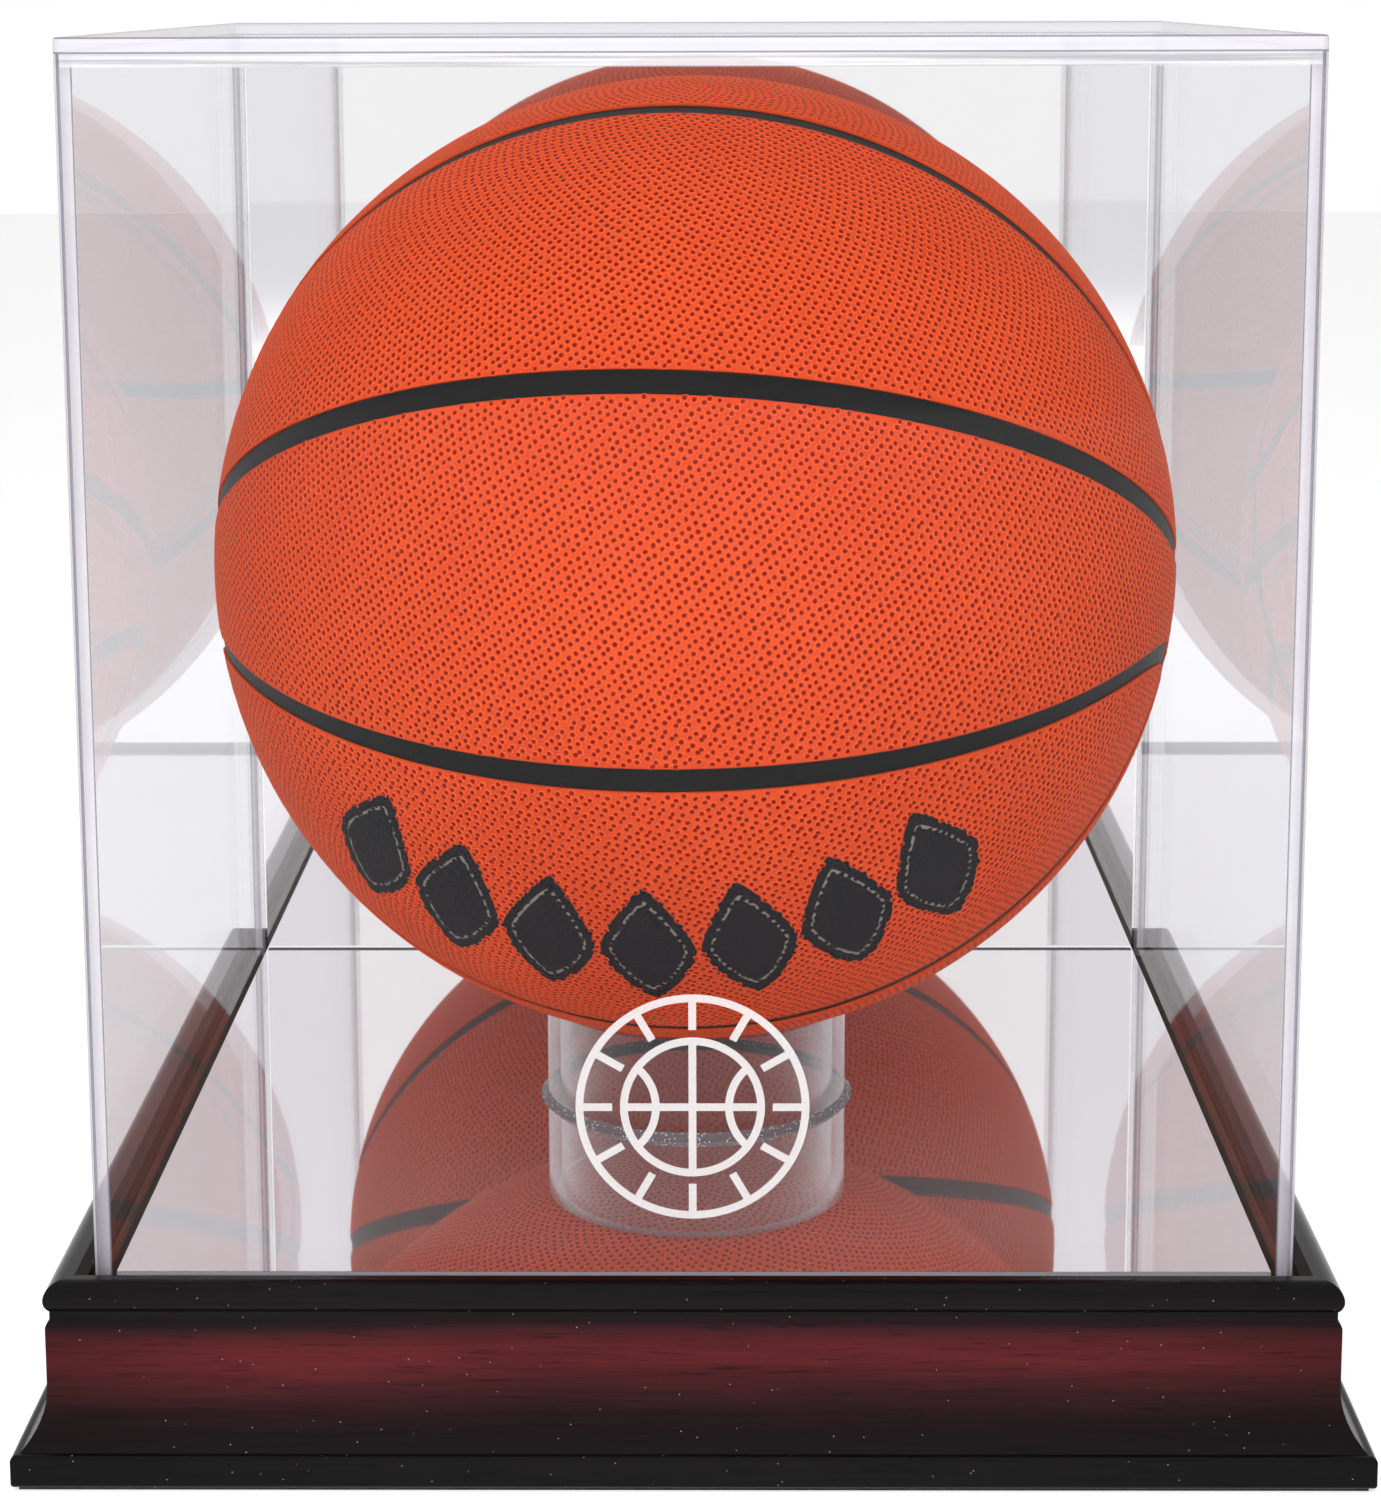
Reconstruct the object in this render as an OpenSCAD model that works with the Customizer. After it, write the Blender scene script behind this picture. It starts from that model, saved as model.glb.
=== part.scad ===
// Display case for a full-size basketball.
// A mitred, moulded hardwood base carries a deck board, a mirror floor and a clear ring stand.
// A five-sided clear cover with a mirror back drops into the rebate behind the moulding's bead.
// Origin: centre of the underside. +Z up, the front faces -Y. Millimetres.

/* [Base] */
// Width and depth of the plinth, outside
base_w = 297; // [250:1:420]
// Height of the base, underside to the top of the bead
base_h = 44.7; // [42:0.1:70]
// Height of the square plinth, felt included
plinth_h = 8.2; // [5:0.1:9]
// Radius on the plinth's arrises
plinth_r = 1.2; // [0.4:0.1:2]
// How far the foot of the cove sits behind the plinth face
cove_in = 1.8; // [1:0.1:4]
// How far the frieze sits behind the plinth face
frieze_in = 7.2; // [5:0.1:7.6]
// Radius of the cove
cove_r = 17.4; // [14:0.1:30]
// Radius on the upper edge of the frieze
frieze_r = 2.5; // [1:0.1:3]
// Depth of the quirk, the fine groove under the bead
quirk_d = 0.9; // [0.3:0.1:1.2]
// Radius of the bead
bead_r = 3.7; // [2.5:0.1:4]
// Width of the chamfer between the bead's flat top and the rebate
lip_w = 2.4; // [0.5:0.1:3]
// Drop of that chamfer
lip_drop = 1.2; // [0.4:0.1:2]
// Depth of the rebate that the cover drops into
rebate_d = 5.7; // [4:0.1:8]
// Width of the ledge that the deck board is glued to
ledge_w = 9.2; // [6:0.1:14]
// Thickness of the felt under the base
felt_t = 0.8; // [0.5:0.1:2]
// How far the felt stops short of the plinth's edge
felt_inset = 1.5; // [0.5:0.5:5]
// Thickness of the board that closes the underside
bottom_t = 3; // [2.5:0.1:4]
// Width of the rebate for that board
bottom_rebate = 8; // [6:0.5:10]
// Thickness of the deck board
deck_t = 10; // [9:0.5:14]
// Gap around each board in its rebate
board_gap = 0.4; // [0.2:0.1:1]
// Leg of the triangular glue blocks
block_leg = 40; // [36:1:60]

/* [Cover] */
// Thickness of the clear sheet
sheet_t = 3.5; // [2.5:0.1:6]
// Gap between the cover and the rebate, all round
cover_gap = 1.2; // [0.4:0.1:2.5]
// Overall height of the case
case_h = 312.7; // [306:0.1:480]
// Radius on the cover's outer upright edges
edge_r = 2; // [0.5:0.1:2.4]
// Radius on the top sheet's outer edges
top_r = 1.2; // [0.3:0.1:2]

/* [Mirrors] */
// Thickness of both mirror sheets
mirror_t = 3; // [2:0.1:4]
// Gap around the mirror sheets
mirror_gap = 0.8; // [0.3:0.1:2]
// Thickness of the mounting tape
tape_t = 0.5; // [0.3:0.1:1]
// Width of a strip of tape
tape_w = 19; // [10:1:25]
// Gap between the mirror back and the mirror floor
back_lift = 0.8; // [0.5:0.1:2]

/* [Ring stand] */
// Outside diameter of the ring
ring_d = 76.2; // [60:0.1:110]
// Wall of the ring
ring_wall = 3.2; // [2.5:0.1:6]
// Height of the ring
ring_h = 25.4; // [20:0.1:40]
// Width of the seat cut into the ring's inner edge
seat_w = 1.2; // [0.6:0.1:2.2]
// Gap between the ball and its seat
seat_gap = 0.25; // [0.2:0.05:0.5]
// Leg of the cement fillet round the ring's foot
cement_leg = 1.8; // [1:0.1:3]
// Where the ring and the ball stand, front to back
ring_y = -4; // [-6:0.5:2]

/* [Ball] */
// Radius of the ball
ball_r = 119.25; // [95:0.05:120]
// Thickness of the cover panels
panel_t = 2; // [1.5:0.1:3]
// Width of the channels between the panels
seam_w = 6; // [4:0.1:8]
// Depth of the channels
seam_d = 0.5; // [0.5:0.1:1.4]
// Gap at each side of a rib
rib_gap = 0.1; // [0.05:0.05:0.3]
// Thickness of the carcass
carcass_t = 3.5; // [2.5:0.1:5]
// Thickness of the bladder
bladder_t = 1.5; // [1:0.1:2.5]
// Angle from the oval channels' axis to their ends
oval_long = 78.2; // [70:0.1:80]
// Angle from the oval channels' axis to their sides
oval_short = 47.1; // [40:0.1:55]
// Tilt of the ball, forwards
ball_tilt = 28.3; // [-60:0.1:60]
// Turn of the ball on its ring
ball_yaw = -5.6; // [-45:0.1:45]
// Radius of the valve's rubber plug
valve_r = 2.6; // [2:0.1:4]
// Angle from the oval's axis to the valve
valve_polar = 24; // [15:1:35]

/* [Screws] */
// Shank diameter of the screws
screw_d = 3.5; // [3:0.1:4.5]
// Head diameter of the screws
screw_head_d = 7; // [6:0.1:8.5]
// Gap between a screw and its hole
screw_fit = 0.05; // [0.02:0.01:0.2]
// Length of the screws through the glue blocks
deck_screw_l = 32; // [29:0.5:34]
// Length of the screws through the bottom board
bottom_screw_l = 14; // [10:0.5:16]

/* [Emblem] */
// Radius of the printed roundel on the cover's front
emblem_r = 25.5; // [15:0.5:30]
// Width of its lines
emblem_line = 1.7; // [1:0.1:2.5]
// Height of its centre
emblem_z = 82; // [72:1:120]
// Thickness of the print
print_t = 0.15; // [0.1:0.01:0.3]

/* [Hidden] */
$fn = 96;
eps = 0.01;
half = base_w/2;
bead_z = base_h - bead_r;
bead_u = frieze_in - 0.3 + bead_r;
quirk_u = frieze_in + quirk_d;
frieze_top = bead_z - bead_r - 0.4;
cove_top = plinth_h + sqrt(cove_r*cove_r - pow(cove_r - (frieze_in - cove_in), 2));
// the rebate for the deck board and the cover; u is measured inwards from the plinth face
rebate_u = bead_u + lip_w + 2.3;
rebate_half = half - rebate_u;
wall_u = rebate_u + ledge_w;
wall_half = half - wall_u;
bottom_u = wall_u - bottom_rebate;
bottom_z = felt_t + bottom_t;
// levels
deck_top = base_h - rebate_d;
deck_z = deck_top - deck_t;
block_h = deck_z - bottom_z;
floor_z = deck_top + tape_t;
floor_top = floor_z + mirror_t;
top_z = case_h - sheet_t;
cover_half = rebate_half - cover_gap;
inner_half = cover_half - sheet_t;
ring_r = ring_d/2;
ring_top = floor_top + ring_h;
seat_r = ring_r - ring_wall + seat_w;
ball_z = ring_top + sqrt(pow(ball_r + seat_gap, 2) - seat_r*seat_r);
shell_r = ball_r - panel_t;
carcass_in = shell_r - carcass_t;
bladder_in = carcass_in - bladder_t;
seam_a = asin(seam_w/2/ball_r);
rib_a = asin((seam_w/2 - rib_gap)/ball_r);
back_y = inner_half - tape_t;
deck_screw_at = [12, 12];
bottom_screw_at = [8, 24];
CORNERS = [[-1, -1], [1, -1], [-1, 1], [1, 1]];

// ---- helpers ----

// Box with its lowest corner at p and size s.
module block(p, s) translate(p) cube(s);

// Box centred on x and y, standing at height z.
module slab(w, d, z, h) block([-w/2, -d/2, z], [w, d, h]);

// Cutter that rounds the corner of a box at the origin; the box lies towards +x and +y.
module round_cutter(r, h) {
    difference() {
        block([-1, -1, -1], [r + 1, r + 1, h + 2]);
        translate([r, r, -2]) cylinder(r = r, h = h + 4);
    }
}

// Countersunk screw, head down at the origin, point up.
module screw(len, gap = 0) {
    r = screw_d/2 + gap;
    head_h = (screw_head_d - screw_d)/2;
    tip = gap > 0 ? 0 : 3;
    cylinder(r1 = screw_head_d/2 + gap, r2 = r, h = head_h);
    cylinder(r = r, h = len - tip);
    if (tip > 0) translate([0, 0, len - tip]) cylinder(r1 = r, r2 = 0.4, h = tip);
}

// Places its children at a corner of the base; c holds the signs of x and y.
module at_corner(c, off, z) {
    translate([c.x*(wall_half - off.x), c.y*(wall_half - off.y), z]) children();
}

// ---- base ----

// Section of the moulding: x is u, the distance in from the plinth face, y is the height.
module moulding_section() {
    difference() {
        union() {
            // plinth with rounded arrises
            translate([plinth_r, felt_t]) square([wall_u - plinth_r, plinth_h - felt_t]);
            translate([0, felt_t + plinth_r])
                square([wall_u, plinth_h - felt_t - 2*plinth_r]);
            translate([plinth_r, felt_t + plinth_r]) circle(r = plinth_r);
            translate([plinth_r, plinth_h - plinth_r]) circle(r = plinth_r);
            // cove
            difference() {
                translate([cove_in, plinth_h - eps])
                    square([wall_u - cove_in, cove_top - plinth_h + eps]);
                translate([frieze_in - cove_r, cove_top]) circle(r = cove_r);
            }
            // neck and frieze
            translate([frieze_in, cove_top - eps])
                square([wall_u - frieze_in, frieze_top - frieze_r - cove_top + eps]);
            translate([frieze_in + frieze_r, frieze_top - frieze_r]) circle(r = frieze_r);
            translate([quirk_u, frieze_top - frieze_r - eps])
                square([wall_u - quirk_u, bead_z - frieze_top + frieze_r + eps]);
            // bead and flat top
            translate([bead_u, bead_z]) circle(r = bead_r);
            translate([bead_u, bead_z - bead_r]) square([wall_u - bead_u, 2*bead_r]);
        }
        // rebate for the deck board and the cover
        translate([rebate_u, deck_z]) square([ledge_w + 1, base_h]);
        translate([rebate_u, base_h])
            polygon([[-lip_w, 1], [-lip_w, 0], [0, -lip_drop], [1, -lip_drop], [1, 1]]);
        // rebate for the bottom board
        translate([bottom_u, -1]) square([bottom_rebate + 1, bottom_z + 1]);
    }
}

// One side of the frame, mitred at both ends; a is its turn from the front.
module moulding(a) {
    color("#5a1410") rotate(a) intersection() {
        translate([-half, -half, 0]) rotate([90, 0, 90])
            linear_extrude(height = base_w) moulding_section();
        linear_extrude(height = base_h + 1)
            polygon([[-half - 1, -half - 1], [half + 1, -half - 1], [0, 0]]);
    }
}

// Triangular glue block in an inside corner, bored for its two screws.
module corner_block(c) {
    color("#c8a26a") difference() {
        translate([c.x*wall_half, c.y*wall_half, bottom_z]) linear_extrude(height = block_h)
            polygon([[0, 0], [-c.x*block_leg, 0], [0, -c.y*block_leg]]);
        at_corner(c, deck_screw_at, bottom_z) screw(deck_screw_l, screw_fit);
        at_corner(c, bottom_screw_at, felt_t) screw(bottom_screw_l, screw_fit);
    }
}

module deck_board() {
    color("#a9835a") difference() {
        slab(2*(rebate_half - board_gap), 2*(rebate_half - board_gap), deck_z, deck_t);
        for (c = CORNERS) at_corner(c, deck_screw_at, bottom_z) screw(deck_screw_l, screw_fit);
    }
}

module bottom_board() {
    color("#8a6a48") difference() {
        slab(2*(half - bottom_u - board_gap), 2*(half - bottom_u - board_gap), felt_t, bottom_t);
        for (c = CORNERS) at_corner(c, bottom_screw_at, felt_t) screw(bottom_screw_l, screw_fit);
    }
}

module felt_sheet() {
    color("#20201f") slab(base_w - 2*felt_inset, base_w - 2*felt_inset, 0, felt_t);
}

module deck_screw(c) {
    color("#8d8f92") at_corner(c, deck_screw_at, bottom_z) screw(deck_screw_l);
}

module bottom_screw(c) {
    color("#8d8f92") at_corner(c, bottom_screw_at, felt_t) screw(bottom_screw_l);
}

// ---- mirrors and ring ----

module mirror_floor() {
    color("#d9dee2") slab(2*(inner_half - mirror_gap), 2*(inner_half - mirror_gap), floor_z, mirror_t);
}

// Three strips across the deck.
module mirror_floor_tape() {
    l = 2*(inner_half - mirror_gap) - 20;
    color("#f2f0ea") for (i = [-1:1])
        translate([0, i*(l - tape_w)/2, 0]) slab(l, tape_w, deck_top, tape_t);
}

module ring_stand() {
    color("#e6eef2", 0.5) difference() {
        translate([0, ring_y, 0]) rotate_extrude()
            translate([ring_r - ring_wall, floor_top]) square([ring_wall, ring_h]);
        translate([0, ring_y, ball_z]) sphere(r = ball_r + seat_gap);
    }
}

module ring_cement() {
    color("#eef3f5", 0.5) translate([0, ring_y, floor_top]) rotate_extrude()
        polygon([[ring_r, 0], [ring_r + cement_leg, 0], [ring_r, cement_leg]]);
}

// ---- cover ----

// Front or back sheet, full width, its outer upright edges rounded; s is the sign of y.
module cover_face(s) {
    color("#dfe6ee", 0.35) difference() {
        block([-cover_half, s > 0 ? inner_half : -cover_half, deck_top],
              [2*cover_half, sheet_t, top_z - deck_top]);
        for (m = [0, 1]) mirror([m, 0, 0]) scale([1, -s, 1])
            translate([-cover_half, -cover_half, deck_top])
                round_cutter(edge_r, top_z - deck_top);
    }
}

// Left or right sheet, between the front and the back; s is the sign of x.
module cover_side(s) {
    color("#dfe6ee", 0.35)
        block([s > 0 ? inner_half : -cover_half, -inner_half, deck_top],
              [sheet_t, 2*inner_half, top_z - deck_top]);
}

module cover_top() {
    color("#dfe6ee", 0.35) difference() {
        slab(2*cover_half, 2*cover_half, top_z, sheet_t);
        for (a = [0:90:270]) rotate(a) {
            translate([-cover_half, -cover_half, top_z]) round_cutter(edge_r, sheet_t);
            translate([-cover_half, -cover_half, case_h]) rotate([0, 90, 0])
                round_cutter(top_r, 2*cover_half);
        }
    }
}

module mirror_back() {
    w = 2*(inner_half - mirror_gap);
    z = floor_top + back_lift;
    color("#d9dee2") block([-w/2, back_y - mirror_t, z], [w, mirror_t, top_z - mirror_gap - z]);
}

// Two upright strips behind the mirror back.
module mirror_back_tape() {
    z = floor_top + back_lift + 10;
    x = inner_half - mirror_gap - 10 - tape_w;
    color("#f2f0ea") for (m = [0, 1]) mirror([m, 0, 0])
        block([x, back_y, z], [tape_w, tape_t, top_z - mirror_gap - 10 - z]);
}

// Ring of the emblem, r outside.
module emblem_ring(r) {
    difference() {
        circle(r = r);
        circle(r = r - emblem_line);
    }
}

// Printed roundel: a double ring round a plain ball with its seams.
module front_emblem() {
    ball = 0.62*emblem_r;
    color("#ffffff", 0.8) translate([0, -cover_half, emblem_z]) rotate([90, 0, 0])
        linear_extrude(height = print_t) {
            emblem_ring(emblem_r);
            emblem_ring(ball);
            intersection() {
                circle(r = ball - emblem_line/2);
                union() {
                    square([2*ball, emblem_line], center = true);
                    square([emblem_line, 2*ball], center = true);
                    for (s = [-1, 1]) translate([s*1.25*ball, 0]) emblem_ring(0.8*ball);
                }
            }
            for (a = [0:30:330]) rotate(a) translate([ball + emblem_line, -emblem_line/2])
                square([emblem_r - ball - 1.5*emblem_line, emblem_line]);
        }
}

// ---- ball ----

// Stands its children on the ring; inside, x runs through the crossings and z through the ovals.
module ball_frame() {
    translate([0, ring_y, ball_z]) rotate([0, 0, ball_yaw]) rotate([-ball_tilt, 0, 0]) children();
}

// Spherical shell.
module shell(r_out, r_in) {
    difference() {
        sphere(r = r_out);
        sphere(r = r_in);
    }
}

// Cone from the ball's centre through an oval, widened by a; s is the side of the ball.
module oval_cone(a, s) {
    lo = ball_r*0.1;
    hi = ball_r*1.1;
    mirror([0, 0, s > 0 ? 0 : 1])
        scale([tan(oval_long + a), tan(oval_short + a), 1])
            translate([0, 0, lo]) cylinder(r1 = lo, r2 = hi, h = hi - lo);
}

// Quarter of space that starts half a channel from two planes; y and z are its sides.
module quarter(y, z, gap_z) {
    big = 1.1*ball_r;
    block([-big, y > 0 ? seam_w/2 : -big, z > 0 ? gap_z : -big],
          [2*big, big - seam_w/2, big - gap_z]);
}

// Bore for the valve, along the valve's own line.
module valve_line() rotate([-valve_polar, 0, 0]) children();

// Panel inside an oval, on one side of its middle channel.
module panel_oval(y, z) {
    color("#d4532f") ball_frame() difference() {
        intersection() {
            shell(ball_r, shell_r);
            oval_cone(-seam_a, z);
            quarter(y, z, 0);
        }
        if (y > 0 && z > 0) valve_line() cylinder(r = valve_r + screw_fit, h = 2*ball_r);
    }
}

// Panel outside an oval, from crossing to crossing.
module panel_long(y, z) {
    color("#d4532f") ball_frame() difference() {
        intersection() {
            shell(ball_r, shell_r);
            quarter(y, z, seam_w/2);
        }
        oval_cone(seam_a, z);
    }
}

// Rubber rib round the ball, flat in the x-y plane.
module rib_ring() {
    w = seam_w - 2*rib_gap;
    rotate_extrude() intersection() {
        difference() {
            circle(r = ball_r - seam_d);
            circle(r = shell_r);
        }
        translate([0, -w/2]) square([ball_r, w]);
    }
}

// Whole ring between the two ovals.
module rib_equator() {
    color("#161514") ball_frame() rib_ring();
}

// Ring through both ovals, in two halves that end at the first ring.
module rib_meridian() {
    color("#161514") ball_frame() difference() {
        rotate([90, 0, 0]) rib_ring();
        cube([2.2*ball_r, 2.2*ball_r, seam_w - 2*rib_gap], center = true);
    }
}

// Rubber ribs along one oval channel, in two halves that end at the middle rib.
module rib_oval(z) {
    color("#161514") ball_frame() difference() {
        intersection() {
            shell(ball_r - seam_d, shell_r);
            oval_cone(rib_a, z);
        }
        oval_cone(-rib_a, z);
        cube([2.2*ball_r, seam_w - 2*rib_gap, 2.2*ball_r], center = true);
    }
}

module ball_carcass() {
    color("#1b1a1a") ball_frame() difference() {
        shell(shell_r, carcass_in);
        valve_line() cylinder(r = valve_r + screw_fit, h = 2*ball_r);
    }
}

module ball_bladder() {
    color("#2a2828") ball_frame() difference() {
        shell(carcass_in, bladder_in);
        valve_line() cylinder(r = valve_r + screw_fit, h = 2*ball_r);
    }
}

// Rubber plug with a flange inside the bladder and a needle hole.
module ball_valve() {
    color("#242323") ball_frame() valve_line() difference() {
        union() {
            translate([0, 0, bladder_in - 3]) cylinder(r = valve_r, h = ball_r - bladder_in + 2.8);
            intersection() {
                translate([0, 0, bladder_in - 3]) cylinder(r = 2.6*valve_r, h = 4);
                sphere(r = bladder_in);
            }
        }
        translate([0, 0, bladder_in]) cylinder(r = 0.5, h = ball_r);
    }
}

moulding(0);  // moulding_front
moulding(180);  // moulding_back
moulding(270);  // moulding_left
moulding(90);  // moulding_right
corner_block(CORNERS[0]);  // corner_block_front_left
corner_block(CORNERS[1]);  // corner_block_front_right
corner_block(CORNERS[2]);  // corner_block_back_left
corner_block(CORNERS[3]);  // corner_block_back_right
deck_board();
bottom_board();
felt_sheet();
deck_screw(CORNERS[0]);  // deck_screw_front_left
deck_screw(CORNERS[1]);  // deck_screw_front_right
deck_screw(CORNERS[2]);  // deck_screw_back_left
deck_screw(CORNERS[3]);  // deck_screw_back_right
bottom_screw(CORNERS[0]);  // bottom_screw_front_left
bottom_screw(CORNERS[1]);  // bottom_screw_front_right
bottom_screw(CORNERS[2]);  // bottom_screw_back_left
bottom_screw(CORNERS[3]);  // bottom_screw_back_right
mirror_floor();
mirror_floor_tape();
ring_stand();
ring_cement();
cover_face(-1);  // cover_front
cover_face(1);  // cover_back
cover_side(-1);  // cover_left
cover_side(1);  // cover_right
cover_top();
mirror_back();
mirror_back_tape();
front_emblem();
ball_bladder();
ball_carcass();
ball_valve();
rib_equator();
rib_meridian();
rib_oval(1);  // rib_oval_top
rib_oval(-1);  // rib_oval_bottom
panel_long(-1, 1);  // panel_long_1
panel_long(1, 1);  // panel_long_2
panel_long(-1, -1);  // panel_long_3
panel_long(1, -1);  // panel_long_4
panel_oval(-1, 1);  // panel_oval_1
panel_oval(1, 1);  // panel_oval_2
panel_oval(-1, -1);  // panel_oval_3
panel_oval(1, -1);  // panel_oval_4
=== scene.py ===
"""A mirrored display case for a ball.

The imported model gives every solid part: a stained wooden base, a clear lift-off cover,
a mirrored floor and back, a ring stand and a ball of eight leather panels. This file
dresses those parts, raises the pebbles of the leather with Geometry Nodes, and sets a
plain studio round the case. Lengths are in metres.
"""
import logging
import math
from abc import ABC, abstractmethod
from dataclasses import dataclass, field
from enum import Enum
from typing import Any, Dict, List, Optional, Sequence, Tuple, Union

import bpy
from mathutils import Matrix, Vector


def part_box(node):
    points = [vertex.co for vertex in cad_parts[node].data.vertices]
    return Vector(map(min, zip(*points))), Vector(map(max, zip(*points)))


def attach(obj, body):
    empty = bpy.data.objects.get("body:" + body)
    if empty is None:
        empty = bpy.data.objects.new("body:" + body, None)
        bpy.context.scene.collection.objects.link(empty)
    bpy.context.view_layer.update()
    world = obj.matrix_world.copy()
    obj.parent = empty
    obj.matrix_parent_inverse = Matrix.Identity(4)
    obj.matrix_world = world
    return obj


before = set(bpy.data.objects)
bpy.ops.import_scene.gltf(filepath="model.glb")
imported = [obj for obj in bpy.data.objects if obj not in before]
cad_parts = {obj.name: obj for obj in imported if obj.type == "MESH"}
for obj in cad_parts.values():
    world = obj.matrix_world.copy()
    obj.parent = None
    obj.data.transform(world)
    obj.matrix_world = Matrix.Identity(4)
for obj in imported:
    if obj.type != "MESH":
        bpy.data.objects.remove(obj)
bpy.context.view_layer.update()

LOG = logging.getLogger("display_case")
MM = 0.001
GOLDEN_TURN = 2.3999632   # radians between one pebble and the next on the spiral
HEX_FILL = 0.866          # ground that a pebble takes up, over its pitch squared
DEGREES = 57.29578        # in a radian

Colour = Tuple[float, float, float, float]
Point = Tuple[float, float, float]


class Axis(Enum):
    """A direction of the shared frame, as an index into a vector."""

    X = 0
    Y = 1
    Z = 2


class Body(Enum):
    """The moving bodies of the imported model."""

    BASE = "base"
    COVER = "cover"
    BALL = "ball"


def tone(red: int, green: int, blue: int) -> Colour:
    """Turns a display colour into a linear one.

    Args:
        red: The red channel, 0 to 255.
        green: The green channel, 0 to 255.
        blue: The blue channel, 0 to 255.

    Returns:
        The linear colour with an alpha of 1.
    """
    def linear(value: int) -> float:
        """Returns one channel, made linear."""
        v = value / 255
        return v / 12.92 if v <= 0.04045 else ((v + 0.055) / 1.055) ** 2.4

    return (linear(red), linear(green), linear(blue), 1.0)


# ---------------------------------------------------------------- node graphs


class Sock:
    """A node's output that stands in expressions; arithmetic on it adds Math nodes."""

    def __init__(self, graph: "Graph", out: bpy.types.NodeSocket) -> None:
        """Wraps one output socket of a graph."""
        self.graph = graph
        self.out = out

    def maths(self, operation: str, *values: "Value") -> "Sock":
        """Adds a Math node.

        Args:
            operation: The node's operation.
            *values: Its inputs in order, sockets or numbers.

        Returns:
            The node's result.
        """
        node = self.graph.node("ShaderNodeMath", {"operation": operation},
                               dict(enumerate(values)))
        return Sock(self.graph, node.outputs[0])

    def __add__(self, other: "Value") -> "Sock":
        """Returns self + other."""
        return self.maths("ADD", self, other)

    __radd__ = __add__

    def __sub__(self, other: "Value") -> "Sock":
        """Returns self - other."""
        return self.maths("SUBTRACT", self, other)

    def __rsub__(self, other: "Value") -> "Sock":
        """Returns other - self."""
        return self.maths("SUBTRACT", other, self)

    def __mul__(self, other: "Value") -> "Sock":
        """Returns self * other."""
        return self.maths("MULTIPLY", self, other)

    __rmul__ = __mul__

    def __truediv__(self, other: "Value") -> "Sock":
        """Returns self / other."""
        return self.maths("DIVIDE", self, other)

    def __rtruediv__(self, other: "Value") -> "Sock":
        """Returns other / self."""
        return self.maths("DIVIDE", other, self)

    def __pow__(self, other: "Value") -> "Sock":
        """Returns self to the power of other."""
        return self.maths("POWER", self, other)

    def __neg__(self) -> "Sock":
        """Returns 0 - self."""
        return self.maths("SUBTRACT", 0.0, self)

    def __abs__(self) -> "Sock":
        """Returns self without its sign."""
        return self.maths("ABSOLUTE", self)

    def __gt__(self, other: "Value") -> "Sock":
        """Returns 1 where self is more than other, else 0."""
        return self.maths("GREATER_THAN", self, other)

    def __lt__(self, other: "Value") -> "Sock":
        """Returns 1 where self is less than other, else 0."""
        return self.maths("LESS_THAN", self, other)

    def rise(self, low: float, high: float) -> "Sock":
        """Returns a smooth step from 0 at low to 1 at high."""
        node = self.graph.node("ShaderNodeMapRange",
                               {"interpolation_type": "SMOOTHSTEP"},
                               {0: self, 1: low, 2: high, 3: 0.0, 4: 1.0})
        return Sock(self.graph, node.outputs[0])


Value = Union[Sock, float]
Vec = Union[Sock, Point, Colour]


class Graph:
    """Adds nodes to one tree, of a material or of Geometry Nodes."""

    def __init__(self, tree: bpy.types.NodeTree) -> None:
        """Starts on a tree and empties it."""
        self.tree = tree
        self.tree.nodes.clear()

    def node(self, kind: str, settings: Optional[Dict[str, Any]] = None,
             values: Optional[Dict[Union[int, str], Any]] = None) -> bpy.types.Node:
        """Adds one node.

        Args:
            kind: The node's type.
            settings: Its properties, set first; "stops" are a ramp's colours.
            values: What its inputs get, by name or index: a number, colour, material
                or socket.

        Returns:
            The node.
        """
        made = self.tree.nodes.new(kind)
        for name, value in (settings or {}).items():
            if name == "stops":
                self._ramp(made, value)
            else:
                setattr(made, name, value)
        for key, value in (values or {}).items():
            if isinstance(value, Sock):
                self.tree.links.new(value.out, made.inputs[key])
            else:
                made.inputs[key].default_value = value
        return made

    @staticmethod
    def _ramp(made: bpy.types.Node, stops: Sequence[Tuple[float, Colour]]) -> None:
        """Sets a colour ramp's stops, given as (place, colour) in rising order."""
        points = made.color_ramp.elements
        while len(points) < len(stops):
            points.new(0.5)
        for point, (place, colour) in zip(points, stops):
            point.position, point.color = place, colour

    def take(self, kind: str, output: Union[int, str] = 0,
             settings: Optional[Dict[str, Any]] = None,
             values: Optional[Dict[Union[int, str], Any]] = None) -> Sock:
        """Adds one node and returns one of its outputs, as node() does."""
        return Sock(self, self.node(kind, settings, values).outputs[output])

    def vector(self, operation: str, *values: Vec) -> Sock:
        """Adds a Vector Math node that gives a vector."""
        return self.take("ShaderNodeVectorMath", 0, {"operation": operation},
                         dict(enumerate(values)))

    def scaled(self, vector: Vec, by: Value) -> Sock:
        """Returns a vector or a colour times a number."""
        return self.take("ShaderNodeVectorMath", 0, {"operation": "SCALE"},
                         {0: vector, 3: by})

    def dot(self, a: Vec, b: Vec) -> Sock:
        """Returns the dot product of two vectors."""
        return self.take("ShaderNodeVectorMath", 1, {"operation": "DOT_PRODUCT"},
                         {0: a, 1: b})

    def length(self, a: Vec) -> Sock:
        """Returns a vector's length."""
        return self.take("ShaderNodeVectorMath", 1, {"operation": "LENGTH"}, {0: a})

    def split(self, vector: Vec) -> Tuple[Sock, Sock, Sock]:
        """Returns a vector's three parts."""
        node = self.node("ShaderNodeSeparateXYZ", None, {0: vector})
        return tuple(Sock(self, out) for out in node.outputs)


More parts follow.
